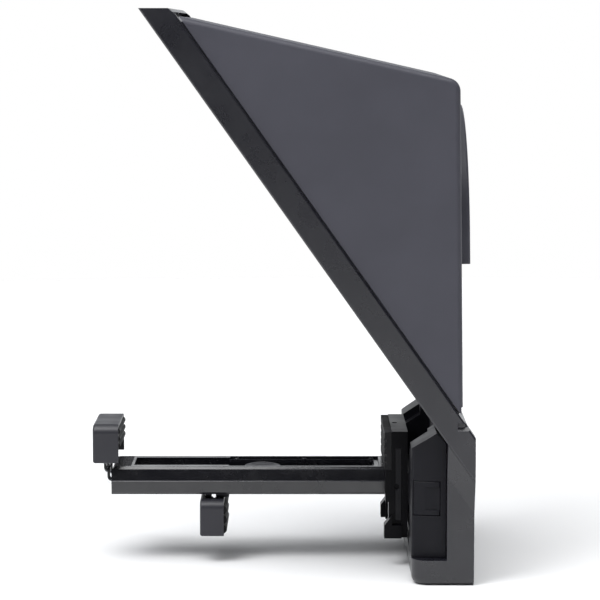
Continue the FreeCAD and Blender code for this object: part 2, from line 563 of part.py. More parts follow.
# ---- arm ----
def arm_body():
    """Channel that is open on top: sides lean in above the seam, two slots in its floor."""
    z0, z1 = ARM_Z
    h = ARM_HALF
    right = [(h - 0.8, z0), (h, z0 + 1.0), (h, ARM_SEAM_Z - 0.3), (h - 0.3, ARM_SEAM_Z),
             (h - 1.5, z1 - 1.2), (h - 2.6, z1)]
    profile = right + [(-y, z) for y, z in reversed(right)]
    body = across(profile, ARM_X[0], ARM_X[1])
    corner = plan([(ARM_X[0] - 1, -h - 1), (ARM_X[0] + 1.4, -h - 1), (ARM_X[0] - 1, -h + 1.4)], 0, 60)
    body = cut(body, pair(corner))
    side = box(ARM_X[0], ARM_X[1], -h - 1, h + 1, z0 - 1, z1)
    side = rounded(side, 2.3, lambda e: runs_along(e, V(0, 1, 0)) and e.CenterOfMass.z > z1 - 0.1
                   and e.CenterOfMass.x < ARM_X[0] + 0.1)
    body = body.common(side)
    low = box(CAVITY_X[0], CAVITY_X[1], -14.9, 14.9, 33.0, 37.6)
    trough = box(-134.0, CAVITY_X[1], -SLOT_HALF, SLOT_HALF, 33.0, 60)
    seat = box(-91.6, -24.4, -12.5, 12.5, 40.8, 60)
    pad_seat = box(-142.6, -135.2, -13.0, 13.0, z1 - 0.8, 60)
    tools = [low, trough, seat, pad_seat]
    slot = box(CAVITY_X[0], PIN_X + PIN_R + 0.5, PIN_Y - PIN_R - 0.4, PIN_Y + PIN_R + 0.4, 20, 34)
    tools += pair(slot)
    tools += pair(rod(ROD_R + 0.06, (-150, ROD_Y, ROD_Z), (1, 0, 0), 20))
    tools += [rod(1.5, (-30, y, TONGUE_SCREW_Z), (1, 0, 0), 20) for y in TONGUE_SCREW_Y]
    tools += [rod(0.9, (x, y, 38.5), (0, 0, 1), 10) for x, y in COVER_SCREWS]
    return cut(body, tools)


def arm_parts():
    save("arm_body", [arm_body()])
    cover = box(-91.5, -24.5, -12.4, 12.4, 40.8, 42.0)
    slot = box(-90.8, -26.5, -SLOT_HALF + 0.2, SLOT_HALF - 0.2, 30, 60)
    slot = rounded(slot, 3.0, lambda e: runs_along(e, V(0, 0, 1)) and e.CenterOfMass.x > -30)
    opening = box(-95, -88, -SLOT_HALF + 0.2, SLOT_HALF - 0.2, 30, 60)
    holes = [rod(1.0, (x, y, 38), (0, 0, 1), 10) for x, y in COVER_SCREWS]
    save("arm_cover", [cut(cover, [slot, opening] + holes)])
    save("arm_cover_screws", [screw(1.15, 0.5, 0.8, 2.8, (x, y, 42.0), (0, 0, 1))
                              for x, y in COVER_SCREWS])
    pad = box(-142.5, -135.3, -12.9, 12.9, ARM_Z[1] - 0.8, ARM_Z[1] + 0.1)
    save("arm_end_pad", [pad])


# ---- sliding jaws ----
def bent_rod(side):
    """Rod that drops out of the front jaw and turns back into the arm."""
    bend = 2.5
    y = side * ROD_Y
    top = V(ROD_X, y, FRONT_JAW_Z[0] + 10.0)
    a = V(ROD_X, y, ROD_Z + bend)
    b = V(ROD_X + bend, y, ROD_Z)
    k = bend * (1 - math.sqrt(0.5))
    mid = V(ROD_X + k, y, ROD_Z + k)
    end = V(CARRIAGE_X[1] - 2.0, y, ROD_Z)
    path = Part.Wire([Part.LineSegment(top, a).toShape(), Part.Arc(a, mid, b).toShape(),
                      Part.LineSegment(b, end).toShape()])
    profile = Part.Wire(Part.makeCircle(ROD_R, top, V(0, 0, -1)))
    return path.makePipeShell([profile], True, False)


def jaw_block(x0, x1, z0, z1):
    """Block across the arm: wide radii on its upper side edges, small ones round its outer face."""
    block = box(x0, x1, -JAW_HALF, JAW_HALF, z0, z1)
    block = rounded(block, JAW_EDGE, lambda e: runs_along(e, V(1, 0, 0)) and e.CenterOfMass.z > z1 - 0.1)
    block = rounded(block, 1.1, lambda e: abs(e.CenterOfMass.x - x0) < 0.01)
    return rounded(block, 0.5, lambda e: runs_along(e, V(1, 0, 0)) and e.CenterOfMass.z < z0 + 0.1)


def jaw_pad(back_x, face_x, z_low, z_high, reach):
    """Soft pad from back_x to face_x with three rounded ribs that stand out by reach."""
    half = JAW_HALF - 1.7
    base = box(back_x, face_x, -half, half, z_low, z_high)
    pitch = (z_high - z_low) / 3
    ribs = []
    for i in range(3):
        z = z_low + pitch * (i + 0.5)
        rise = reach + 0.3
        r = (rise * rise + (pitch * 0.44) ** 2) / (2 * rise)
        rib = rod(r, (face_x + reach - r, -half, z), (0, 1, 0), 2 * half)
        ribs.append(rib.common(box(face_x - 0.3, face_x + 5, -half, half, z - pitch / 2, z + pitch / 2)))
    return fuse([base] + ribs)


def jaw_parts():
    save("jaw_rods", [bent_rod(side) for side in (1, -1)])
    half = JAW_HALF - 1.6
    x0, x1 = FRONT_JAW_X
    back = x1 - PAD_RECESS
    bores = pair(rod(ROD_R, (ROD_X, ROD_Y, FRONT_JAW_Z[0] - 5), (0, 0, 1), 15.0))
    recess = box(back, x1 + 1, -half, half, FRONT_JAW_Z[0] - 1, FRONT_PAD_Z[1] + 0.1)
    save("front_jaw", [cut(jaw_block(x0, x1, *FRONT_JAW_Z), bores + [recess])])
    save("front_jaw_pad", [jaw_pad(back, x1, *FRONT_PAD_Z, FRONT_PAD_REACH)])
    x0, x1 = PHONE_JAW_X
    back = x1 - PAD_RECESS / 2
    pins = pair(rod(PIN_R, (PIN_X, PIN_Y, 20.0), (0, 0, 1), PIN_TOP_Z - 20.0))
    recess = box(back, x1 + 1, -half, half, PHONE_PAD_Z[0] - 0.1, PHONE_PAD_Z[1] + 0.1)
    save("phone_jaw_pins", pins)
    save("phone_jaw", [cut(jaw_block(x0, x1, *PHONE_JAW_Z), pins + [recess])])
    save("phone_jaw_pad", [jaw_pad(back, x1, *PHONE_PAD_Z, PHONE_PAD_REACH)])
    save("phone_jaw_shoe", [box(-102.2, -91.6, -11.0, 11.0, PHONE_JAW_Z[1], ARM_Z[0] - FIT)])
    block = box(CARRIAGE_X[0], CARRIAGE_X[1], -14.6, 14.6, 33.3, 37.3)
    neck = rod(3.0, (DISC_X, 0, 37.0), (0, 0, 1), 3.7)
    bore_length = CARRIAGE_X[1] - CARRIAGE_X[0] - 1
    bores = pair(rod(ROD_R, (CARRIAGE_X[0] - 1, ROD_Y, ROD_Z), (1, 0, 0), bore_length))
    bores += pins
    bores += pair(rod(1.0, (CARRIAGE_X[1] - 4, SPRING_Y, ROD_Z), (1, 0, 0), 10))
    save("jaw_carriage", [cut(fuse([block, neck]), bores)])
    dome_r = 28.0
    rise = 1.3
    dome = Part.makeSphere(dome_r, V(DISC_X, 0, 42.3 - dome_r))
    disc = rod(DISC_R, (DISC_X, 0, 40.7), (0, 0, 1), rise + 2).common(dome)
    disc = disc.cut(box(DISC_X - 5, DISC_X + 5, -0.7, 0.7, 41.6, 50))
    save("carriage_stud", [disc])
    springs = [coil(2.0, 0.3, 2.4, SPRING_END - CARRIAGE_X[1] - 0.6,
                    (CARRIAGE_X[1] + 0.3, side * SPRING_Y, ROD_Z), (1, 0, 0)) for side in (1, -1)]
    save("return_springs", springs)


save("main_frame", [main_frame()])
glass_parts()
base_parts()
dock_parts()
catch_parts()
hood_parts()
bracket_parts()
arm_parts()
jaw_parts()
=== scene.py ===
import math

import bmesh
import bpy
from mathutils import Matrix, Vector


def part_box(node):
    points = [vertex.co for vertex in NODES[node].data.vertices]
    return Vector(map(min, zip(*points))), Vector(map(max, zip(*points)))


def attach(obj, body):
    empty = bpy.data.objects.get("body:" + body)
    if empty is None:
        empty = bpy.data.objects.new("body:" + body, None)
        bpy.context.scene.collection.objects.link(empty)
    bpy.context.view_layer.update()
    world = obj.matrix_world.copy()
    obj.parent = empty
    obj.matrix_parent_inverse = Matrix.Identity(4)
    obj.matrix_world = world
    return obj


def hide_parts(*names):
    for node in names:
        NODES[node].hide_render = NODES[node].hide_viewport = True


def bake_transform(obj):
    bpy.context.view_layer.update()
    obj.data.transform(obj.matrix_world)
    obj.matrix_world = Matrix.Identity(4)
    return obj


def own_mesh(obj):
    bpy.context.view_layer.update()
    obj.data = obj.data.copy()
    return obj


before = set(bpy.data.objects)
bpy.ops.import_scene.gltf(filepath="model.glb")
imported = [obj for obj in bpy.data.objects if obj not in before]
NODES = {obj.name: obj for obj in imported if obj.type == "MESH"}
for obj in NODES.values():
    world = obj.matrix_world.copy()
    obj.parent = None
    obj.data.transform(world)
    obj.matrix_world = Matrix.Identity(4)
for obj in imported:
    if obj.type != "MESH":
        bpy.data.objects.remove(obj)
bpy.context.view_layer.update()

MM = 0.001


# ---------------------------------------------------------------- camera and light
LENS = 154.56
SENSOR = 36.0
CAMERA_AT = (-0.05986, -1.1479, 0.2373)
CAMERA_DIP = 6.03          # degrees below the horizon

ROOM_DARK = 0.03           # brightness of the room at eye level
ROOM_LOW = 0.25            # under the object
ROOM_TOP = 0.8             # overhead
ROOM_TINT = (0.95, 0.97, 1.0, 1.0)
TOP_LIGHT = 2.2
TOP_LIGHT_SPREAD = 46.0    # degrees
TOP_LIGHT_TILT = (17.0, -4.0)
SOFTBOX = 12.0
SOFTBOX_SIDE = 0.7
SOFTBOX_AT = (-0.75, -0.7, 1.15)
SOFTBOX_AIM = (-0.07, 0.0, 0.2)
SOFTBOX_TINT = (0.97, 0.98, 1.0)


def place_camera():
    data = bpy.data.cameras.new("camera")
    data.sensor_width = SENSOR
    data.lens = LENS
    data.clip_start, data.clip_end = 0.05, 60.0
    cam = bpy.data.objects.new("camera", data)
    cam.location = CAMERA_AT
    cam.rotation_euler = (math.radians(90.0 - CAMERA_DIP), 0.0, 0.0)
    bpy.context.scene.collection.objects.link(cam)
    bpy.context.scene.camera = cam


def new_object(name, data):
    obj = bpy.data.objects.new(name, data)
    bpy.context.scene.collection.objects.link(obj)
    return obj


def set_range(node, low, high, to_low, to_high):
    """Fill in a map range node."""
    for key, number in (("From Min", low), ("From Max", high), ("To Min", to_low), ("To Max", to_high)):
        node.inputs[key].default_value = number


def studio_world():
    """Bright wall behind the object and light overhead for its gloss, on a plain white ground."""
    world = bpy.data.worlds.new("studio")
    bpy.context.scene.world = world
    world.use_nodes = True
    nodes, links = world.node_tree.nodes, world.node_tree.links
    nodes.clear()
    split = nodes.new("ShaderNodeSeparateXYZ")
    links.new(nodes.new("ShaderNodeTexCoord").outputs["Generated"], split.inputs[0])

    def ramp(socket, low, high, to_low, to_high):
        node = nodes.new("ShaderNodeMapRange")
        node.interpolation_type = "SMOOTHSTEP"
        set_range(node, low, high, to_low, to_high)
        links.new(socket, node.inputs["Value"])
        return node.outputs["Result"]

    def combine(kind, first, second):
        node = nodes.new("ShaderNodeMath")
        node.operation = kind
        links.new(first, node.inputs[0])
        links.new(second, node.inputs[1])
        return node.outputs[0]

    behind = combine("MULTIPLY", ramp(split.outputs["Y"], 0.05, 0.6, 0.0, 1.0),
                     ramp(split.outputs["Z"], 0.25, 0.5, 1.0, 0.0))
    above = ramp(split.outputs["Z"], 0.5, 0.8, ROOM_DARK, ROOM_TOP)
    below = ramp(split.outputs["Z"], -0.02, 0.0, ROOM_LOW, 0.0)
    strength = combine("MAXIMUM", combine("MAXIMUM", behind, above), below)
    room = nodes.new("ShaderNodeBackground")
    room.inputs["Color"].default_value = ROOM_TINT
    links.new(strength, room.inputs["Strength"])
    wall = nodes.new("ShaderNodeBackground")
    wall.inputs["Color"].default_value = (1.0, 1.0, 1.0, 1.0)
    mix = nodes.new("ShaderNodeMixShader")
    links.new(nodes.new("ShaderNodeLightPath").outputs["Is Camera Ray"], mix.inputs["Fac"])
    links.new(room.outputs["Background"], mix.inputs[1])
    links.new(wall.outputs["Background"], mix.inputs[2])
    links.new(mix.outputs["Shader"], nodes.new("ShaderNodeOutputWorld").inputs["Surface"])


def light_the_scene():
    """A soft top light, and a softbox high on the left for the side walls."""
    studio_world()
    sun = bpy.data.lights.new("top_light", "SUN")
    sun.energy = TOP_LIGHT
    sun.angle = math.radians(TOP_LIGHT_SPREAD)
    lamp = new_object("top_light", sun)
    tilt_x, tilt_y = TOP_LIGHT_TILT
    lamp.rotation_euler = (math.radians(tilt_x), math.radians(tilt_y), 0.0)
    box = bpy.data.lights.new("left_softbox", "AREA")
    box.shape = "RECTANGLE"
    box.size = box.size_y = SOFTBOX_SIDE
    box.energy = SOFTBOX
    box.color = SOFTBOX_TINT
    lamp = new_object("left_softbox", box)
    lamp.location = SOFTBOX_AT
    lamp.rotation_euler = (Vector(SOFTBOX_AIM) - Vector(SOFTBOX_AT)).to_track_quat("-Z", "Y").to_euler()
    bpy.context.scene.view_settings.view_transform = "Standard"


place_camera()
light_the_scene()


# ---------------------------------------------------------------- materials
class Maker:
    """Builds one node material around a Principled shader."""

    def __init__(self, name):
        self.mat = bpy.data.materials.new(name)
        self.mat.use_nodes = True
        self.nodes = self.mat.node_tree.nodes
        self.links = self.mat.node_tree.links
        self.shader = self.nodes["Principled BSDF"]
        self.coord = self.nodes.new("ShaderNodeTexCoord").outputs["Object"]

    def set(self, **values):
        for key, value in values.items():
            self.shader.inputs[key.replace("_", " ")].default_value = value

    def feed(self, key, value):
        """Join a value to one input of the shader."""
        self.links.new(value, self.shader.inputs[key])

    def noise(self, scale, detail, roughness=0.55, stretch=None):
        node = self.nodes.new("ShaderNodeTexNoise")
        node.inputs["Scale"].default_value = scale
        node.inputs["Detail"].default_value = detail
        node.inputs["Roughness"].default_value = roughness
        source = self.coord
        if stretch:
            mapping = self.nodes.new("ShaderNodeMapping")
            mapping.inputs["Scale"].default_value = stretch
            self.links.new(source, mapping.inputs["Vector"])
            source = mapping.outputs["Vector"]
        self.links.new(source, node.inputs["Vector"])
        return node.outputs["Fac"]

    def remap(self, value, low, high, to_low, to_high):
        node = self.nodes.new("ShaderNodeMapRange")
        set_range(node, low, high, to_low, to_high)
        self.links.new(value, node.inputs["Value"])
        return node.outputs["Result"]

    def mix(self, factor, first, second):
        node = self.nodes.new("ShaderNodeMix")
        node.data_type = "RGBA"
        self.links.new(factor, node.inputs["Factor"])
        for socket, colour in ((node.inputs["A"], first), (node.inputs["B"], second)):
            if hasattr(colour, "links"):
                self.links.new(colour, socket)
            else:
                socket.default_value = (*colour, 1.0)
        return node.outputs["Result"]

    def edges(self, radius):
        """0 on flat ground, up to 1 on an edge of about this radius."""
        bevel = self.nodes.new("ShaderNodeBevel")
        bevel.samples = 4
        bevel.inputs["Radius"].default_value = radius
        ground = self.nodes.new("ShaderNodeNewGeometry")
        dot = self.nodes.new("ShaderNodeVectorMath")
        dot.operation = "DOT_PRODUCT"
        self.links.new(bevel.outputs["Normal"], dot.inputs[0])
        self.links.new(ground.outputs["True Normal"], dot.inputs[1])
        return self.remap(dot.outputs["Value"], 0.995, 0.82, 0.0, 1.0)

    def bump(self, height, strength, distance):
        node = self.nodes.new("ShaderNodeBump")
        node.inputs["Strength"].default_value = strength
        node.inputs["Distance"].default_value = distance
        self.links.new(height, node.inputs["Height"])
        self.feed("Normal", node.outputs["Normal"])


GRAIN_DEPTH = 0.00002      # metres, of the moulded and the rubber surfaces
PLASTIC_GRAIN = 5200.0
EDGE_REACH = 0.0005


def shades(base, dark, light):
    """A darker and a lighter tone of one colour."""
    return tuple(c * dark for c in base), tuple(c * light for c in base)


def moulded(name, base, rough, specular, wear_and_highlight_gain=1.6, wear_and_highlight_amount=0.35):
    """Moulded plastic: fine grain, slight mottle, smudged gloss, and edges lighter, partly rubbed wear and
    partly a painted highlight.
    """
    m = Maker(name)
    low, high = shades(base, 0.93, 1.07)
    body = m.mix(m.remap(m.noise(24.0, 4.0), 0.35, 0.65, 0.0, 1.0), low, high)
    # edge colour: partly rubbed wear, partly a painted highlight along the edges
    rubbed_and_highlit = tuple(min(1.0, c * wear_and_highlight_gain) for c in high)
    edge = m.remap(m.edges(EDGE_REACH), 0.0, 1.0, 0.0, wear_and_highlight_amount)
    m.feed("Base Color", m.mix(edge, body, rubbed_and_highlit))
    m.feed("Roughness", m.remap(m.noise(90.0, 5.0), 0.3, 0.7, rough - 0.05, rough + 0.07))
    m.set(Specular_IOR_Level=specular)
    m.bump(m.noise(PLASTIC_GRAIN, 2.0, 0.6), 0.35, GRAIN_DEPTH)
    return m.mat


def rubber(name, base, rough):
    """Rubber: mottled, dull, with a coarse skin."""
    m = Maker(name)
    low, high = shades(base, 0.75, 1.3)
    m.feed("Base Color", m.mix(m.remap(m.noise(60.0, 5.0), 0.3, 0.7, 0.0, 1.0), low, high))
    m.feed("Roughness", m.remap(m.noise(140.0, 4.0), 0.3, 0.7, rough - 0.06, rough + 0.1))
    m.set(Specular_IOR_Level=0.35)
    m.bump(m.noise(7000.0, 3.0, 0.7), 0.5, GRAIN_DEPTH)
    return m.mat


def metal(name, base, rough, brushed=None):
    """Metal with fine streaks, drawn out along one axis where brushed."""
    m = Maker(name)
    streak = m.noise(900.0, 4.0, 0.6, brushed)
    low, high = shades(base, 0.86, 1.0)
    m.feed("Base Color", m.mix(m.remap(streak, 0.35, 0.65, 0.0, 1.0), low, high))
    m.feed("Roughness", m.remap(streak, 0.3, 0.7, max(0.02, rough - 0.06), rough + 0.08))
    m.set(Metallic=1.0)
    m.bump(streak, 0.12, 0.00001)
    return m.mat


def foam(name, base):
    """Foam rubber: small cells, lighter between them."""
    m = Maker(name)
    cells = m.nodes.new("ShaderNodeTexVoronoi")
    cells.inputs["Scale"].default_value = 2600.0
    m.links.new(m.coord, cells.inputs["Vector"])
    low, high = shades(base, 1.0, 2.2)
    m.feed("Base Color", m.mix(m.remap(cells.outputs["Distance"], 0.0, 0.6, 0.0, 1.0), low, high))
    m.set(Roughness=0.95, Specular_IOR_Level=0.15)
    m.bump(cells.outputs["Distance"], 0.6, 0.0001)
    return m.mat


def coated_glass(name):
    """Beam splitter: most light goes through, about a third comes back."""
    m = Maker(name)
    tint = m.mix(m.remap(m.noise(14.0, 2.0), 0.3, 0.7, 0.0, 1.0), (0.86, 0.88, 0.9), (0.92, 0.93, 0.94))
    m.feed("Base Color", tint)
    m.feed("Roughness", m.remap(m.noise(320.0, 6.0), 0.4, 0.8, 0.0, 0.03))
    m.set(Metallic=0.32, Transmission_Weight=1.0, IOR=1.5)
    return m.mat


HOOD = (0.058, 0.058, 0.072)
FRAME = (0.009, 0.009, 0.013)
DOCK = (0.007, 0.007, 0.010)
ARM = (0.005, 0.005, 0.007)
BRACKET = (0.002, 0.002, 0.003)
JAW = (0.02, 0.02, 0.026)
LOOK = {
    # frame, hood and arm get strong edge lightening: a painted highlight along their rims and top edges, on
    # top of light wear
    "frame_plastic": moulded("frame_plastic", FRAME, 0.29, 0.7, wear_and_highlight_gain=3.5, wear_and_highlight_amount=0.6),
    "hood_plastic": moulded("hood_plastic", HOOD, 0.46, 0.3, wear_and_highlight_gain=1.9, wear_and_highlight_amount=0.6),
    "dock_plastic": moulded("dock_plastic", DOCK, 0.4, 0.18),
    "arm_plastic": moulded("arm_plastic", ARM, 0.24, 0.75, wear_and_highlight_gain=9.0, wear_and_highlight_amount=0.8),
    "bracket_plastic": moulded("bracket_plastic", BRACKET, 0.36, 0.1),
    "jaw_plastic": moulded("jaw_plastic", JAW, 0.42, 0.45),
    "pad_rubber": rubber("pad_rubber", (0.006, 0.006, 0.007), 0.7),
    "grip_rubber": rubber("grip_rubber", (0.06, 0.06, 0.068), 0.6),
    "seal_foam": foam("seal_foam", (0.01, 0.01, 0.011)),
    "beam_glass": coated_glass("beam_glass"),
    "chrome_rod": metal("chrome_rod", (0.86, 0.87, 0.88), 0.1, (1.0, 1.0, 0.05)),
    "black_screw": metal("black_screw", (0.06, 0.06, 0.065), 0.32),
    "zinc_screw": metal("zinc_screw", (0.62, 0.62, 0.64), 0.28),
    "insert_brass": metal("insert_brass", (0.72, 0.52, 0.22), 0.25),
    "spring_steel": metal("spring_steel", (0.5, 0.5, 0.52), 0.25),
    "rail_metal": moulded("rail_metal", (0.006, 0.006, 0.008), 0.35, 0.2),
}


# ---------------------------------------------------------------- carried-over CAD nodes
def smooth_group():
    """Geometry nodes that drop the stored normals and shade every face smooth."""
    tree = bpy.data.node_groups.new("all_smooth", "GeometryNodeTree")
    tree.interface.new_socket("Geometry", in_out="INPUT", socket_type="NodeSocketGeometry")
    tree.interface.new_socket("Geometry", in_out="OUTPUT", socket_type="NodeSocketGeometry")
    start = tree.nodes.new("NodeGroupInput")
    end = tree.nodes.new("NodeGroupOutput")
    drop = tree.nodes.new("GeometryNodeRemoveAttribute")
    drop.inputs["Name"].default_value = "custom_normal"
    smooth = tree.nodes.new("GeometryNodeSetShadeSmooth")
    tree.links.new(start.outputs[0], drop.inputs["Geometry"])
    tree.links.new(drop.outputs["Geometry"], smooth.inputs["Geometry"])
    tree.links.new(smooth.outputs["Geometry"], end.inputs[0])
    return tree


ALL_SMOOTH = smooth_group()
WELD_REACH = 2e-6          # metres
FLAT_WITHIN = 0.4          # degrees between faces that count as one
ROUND_FROM = 32.0          # degrees; sharper edges are rounded
ROUND_STEPS = 3


def ease(obj, width):
    """Round the sharp edges of a shape by modifiers."""
    weld = obj.modifiers.new("weld", "WELD")
    weld.merge_threshold = WELD_REACH
    flat = obj.modifiers.new("flat", "DECIMATE")
    flat.decimate_type = "DISSOLVE"
    flat.angle_limit = math.radians(FLAT_WITHIN)
    shade = obj.modifiers.new("shade", "NODES")
    shade.node_group = ALL_SMOOTH
    if width:
        bevel = obj.modifiers.new("round", "BEVEL")
        bevel.width = width
        bevel.segments = ROUND_STEPS
        bevel.limit_method = "ANGLE"
        bevel.angle_limit = math.radians(ROUND_FROM)
        bevel.use_clamp_overlap = True
        weigh = obj.modifiers.new("weigh", "WEIGHTED_NORMAL")
        weigh.mode = "FACE_AREA"
        weigh.weight = 80


def dress(name, look, width):
    """Give a CAD node its look, and round its edges by this width in millimetres."""
    obj = NODES[name]
    for slot in obj.material_slots:
        slot.material = LOOK[look]
    ease(obj, width * MM)


DRESSED = (
    ("main_frame", "frame_plastic", 0.4),
    ("hood_shell", "hood_plastic", 0.3),
    ("lens_ring_arch", "hood_plastic", 0.2),
    ("port_seal", "seal_foam", 0.1),
    ("glass_gasket", "seal_foam", 0.1),
    ("beam_splitter_glass", "beam_glass", 0.15),
    ("glass_retainer", "frame_plastic", 0.3),
    ("base_plate", "dock_plastic", 0.25),
    ("dock_block", "dock_plastic", 0.35),
    ("hood_catches", "frame_plastic", 0.15),
    ("release_button_left", "dock_plastic", 0.3),
    ("release_button_right", "dock_plastic", 0.3),
    ("bracket_body", "bracket_plastic", 0.3),
    ("bracket_side_rails", "rail_metal", 0.15),
    ("bracket_pins", "bracket_plastic", 0.1),
    ("bracket_pad", "pad_rubber", 0.2),
    ("bracket_tongue", "dock_plastic", 0.3),
    ("arm_body", "arm_plastic", 0.3),
    ("arm_cover", "arm_plastic", 0.15),
    ("jaw_carriage", "dock_plastic", 0.25),
    ("carriage_stud", "jaw_plastic", 0.2),
    ("jaw_rods", "chrome_rod", 0.0),
    ("front_jaw", "jaw_plastic", 0.5),
    ("front_jaw_pad", "pad_rubber", 0.2),
    ("phone_jaw_pins", "chrome_rod", 0.1),
    ("phone_jaw", "jaw_plastic", 0.5),
    ("phone_jaw_pad", "pad_rubber", 0.2),
    ("phone_jaw_shoe", "dock_plastic", 0.3),
)
for dressed_row in DRESSED:
    dress(*dressed_row)


# ---------------------------------------------------------------- pieces drawn here
SHARP_FROM = 34.0          # degrees


def finish_piece(name, work, node, body, slot, look=None):
    """Turn the mesh, drawn in millimetres, into a piece that stands for a CAD node."""
    bmesh.ops.scale(work, vec=(MM, MM, MM), verts=work.verts)
    bmesh.ops.recalc_face_normals(work, faces=work.faces)
    mesh = bpy.data.meshes.new(name)
    work.to_mesh(mesh)
    work.free()
    for face in mesh.polygons:
        face.use_smooth = True
    mesh.set_sharp_from_angle(angle=math.radians(SHARP_FROM))
    mesh.materials.append(LOOK[look or slot])
    piece = new_object(name, mesh)
    if body:
        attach(piece, body)
    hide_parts(node)
    return piece


def loft(work, rings, closed=False):
    """Skin rings of equal point counts, with a fan on each end unless the last ring joins the first."""
    rows = [[work.verts.new(p) for p in ring] for ring in rings]
    pairs = list(zip(rows, rows[1:])) + ([(rows[-1], rows[0])] if closed else [])
    for low, high in pairs:
        count = len(low)
        for i in range(count):
            k = (i + 1) % count
            work.faces.new((low[i], low[k], high[k], high[i]))
    if not closed:
        for row in (rows[0], rows[-1]):
            middle = sum((v.co for v in row), Vector()) / len(row)
            tip = work.verts.new(middle)
            for i in range(len(row)):
                work.faces.new((row[i], row[(i + 1) % len(row)], tip))


CROSS_LENGTH = 0.56        # of the recess, in head radii
CROSS_WIDTH = 0.13
THREAD_ROOT = 0.86         # of the shank's radius
HEAD_SIDE = ((0.0, 0.96), (0.07, 1.0), (0.5, 1.0), (0.72, 0.95), (0.88, 0.84), (0.97, 0.7))
CROSS_SIDE = ((1.0, 1.03), (0.94, 1.0), (0.5, 0.72), (0.36, 0.4))


def cross_angles():
    """Turns of every ring, with one on each corner of the cross recess."""
    corner = math.atan2(CROSS_WIDTH, CROSS_LENGTH)
    steps = (-corner, -corner / 3, corner / 3, corner, math.radians(22.0), math.radians(34.0),
             math.radians(45.0), math.radians(56.0), math.radians(68.0))
    return [quarter * math.pi / 2 + step for quarter in range(4) for step in steps]


def cross_radius(turn):
    """Distance to the edge of the cross in this direction, in head radii."""
    folded = (turn + math.pi / 4) % (math.pi / 2) - math.pi / 4
    if abs(math.tan(folded)) <= CROSS_WIDTH / CROSS_LENGTH + 1e-9:
        return CROSS_LENGTH / math.cos(folded)
    return CROSS_WIDTH / abs(math.sin(folded))


def add_screw(work, seat, axis, head_r, head_h, shank_r, length, pitch=0.7):
    """Pan head with a cross recess on a ridged shank; seat is the underside of the head."""
    turns = cross_angles()
    place = Matrix.Translation(seat) @ Vector(axis).to_track_quat("Z", "Y").to_matrix().to_4x4()

    def ring(z, radius):
        return [place @ Vector((radius * math.cos(t), radius * math.sin(t), z)) for t in turns]

    def cross(z, scale):
        radii = [cross_radius(t) * head_r * scale for t in turns]
        return [place @ Vector((r * math.cos(t), r * math.sin(t), z)) for r, t in zip(radii, turns)]

    rings = [ring(-length, shank_r * 0.6)]
    ridges = max(2, int((length - shank_r) / pitch))
    for i in range(ridges):
        z = -length + shank_r * 0.5 + i * pitch
        rings += [ring(z, shank_r * THREAD_ROOT), ring(z + pitch / 2, shank_r)]
    rings += [ring(-0.02, shank_r * THREAD_ROOT), ring(0.0, shank_r * 1.02)]
    for z, radius in HEAD_SIDE:
        rings.append(ring(z * head_h, radius * head_r))
    for z, scale in CROSS_SIDE:
        rings.append(cross(z * head_h, scale))
    loft(work, rings)


def screw_set(name, node, body, slot, seats, size):
    """Screws of one size; each seat is a place and the way its head faces."""
    work = bmesh.new()
    for seat, axis in seats:
        add_screw(work, seat, axis, *size)
    finish_piece(name, work, node, body, slot)


FRAME_SLOPE = math.radians(54.7)
FRAME_TOP = Vector((-127.2, 0.0, 245.5))
DOWN_SLOPE = Vector((math.cos(FRAME_SLOPE), 0.0, -math.sin(FRAME_SLOPE)))
OFF_SLOPE = Vector((math.sin(FRAME_SLOPE), 0.0, math.cos(FRAME_SLOPE)))
RETAINER_TOP = 8.3         # behind the front face of the glass frame
REAR_WALL = Matrix.Translation((8.166, 0.0, 148.0)) @ Matrix.Rotation(math.radians(-0.79), 4, "Y")
REAR_WALL_INWARD = REAR_WALL.to_3x3() @ Vector((-1.0, 0.0, 0.0))

screw_set("retainer_screw_set", "retainer_screws", "frame", "black_screw",
          [(FRAME_TOP + DOWN_SLOPE * s + OFF_SLOPE * RETAINER_TOP + Vector((0.0, y, 0.0)), OFF_SLOPE)
           for s in (26.0, 84.0, 142.0, 200.0) for y in (-66.8, 66.8)], (1.9, 1.1, 0.9, 5.8))
screw_set("plate_screw_set", "base_plate_screws", "frame", "zinc_screw",
          [((1.0, y, 1.2), (0, 0, -1)) for y in (-50.0, -22.0, 22.0, 50.0)], (2.5, 1.0, 1.2, 6.0))
screw_set("dock_screw_set", "dock_screws", "frame", "black_screw",
          [((9.3, y, z), (1, 0, 0)) for y in (-45.0, 45.0) for z in (21.0, 54.0)], (3.0, 1.8, 1.45, 14.0))
screw_set("arch_screw_set", "arch_screws", "hood", "black_screw",
          [(REAR_WALL @ Vector((-2.25, y, z)), REAR_WALL_INWARD)
           for y, z in ((-53.3, -6.0), (53.3, -6.0), (-30.0, 44.05), (30.0, 44.05))], (2.4, 1.3, 1.05, 4.6))
screw_set("cover_screw_set", "arm_cover_screws", "arm", "black_screw",
          [((x, y, 42.0), (0, 0, 1)) for x in (-88.5, -58.0, -27.5) for y in (-11.2, 11.2)],
          (1.15, 0.5, 0.8, 2.8, 0.4))
screw_set("tongue_screw_set", "bracket_screws", "arm", "black_screw",
          [((-9.5, y, 37.0), (1, 0, 0)) for y in (-13.6, 13.6)], (2.8, 1.6, 1.5, 11.0))


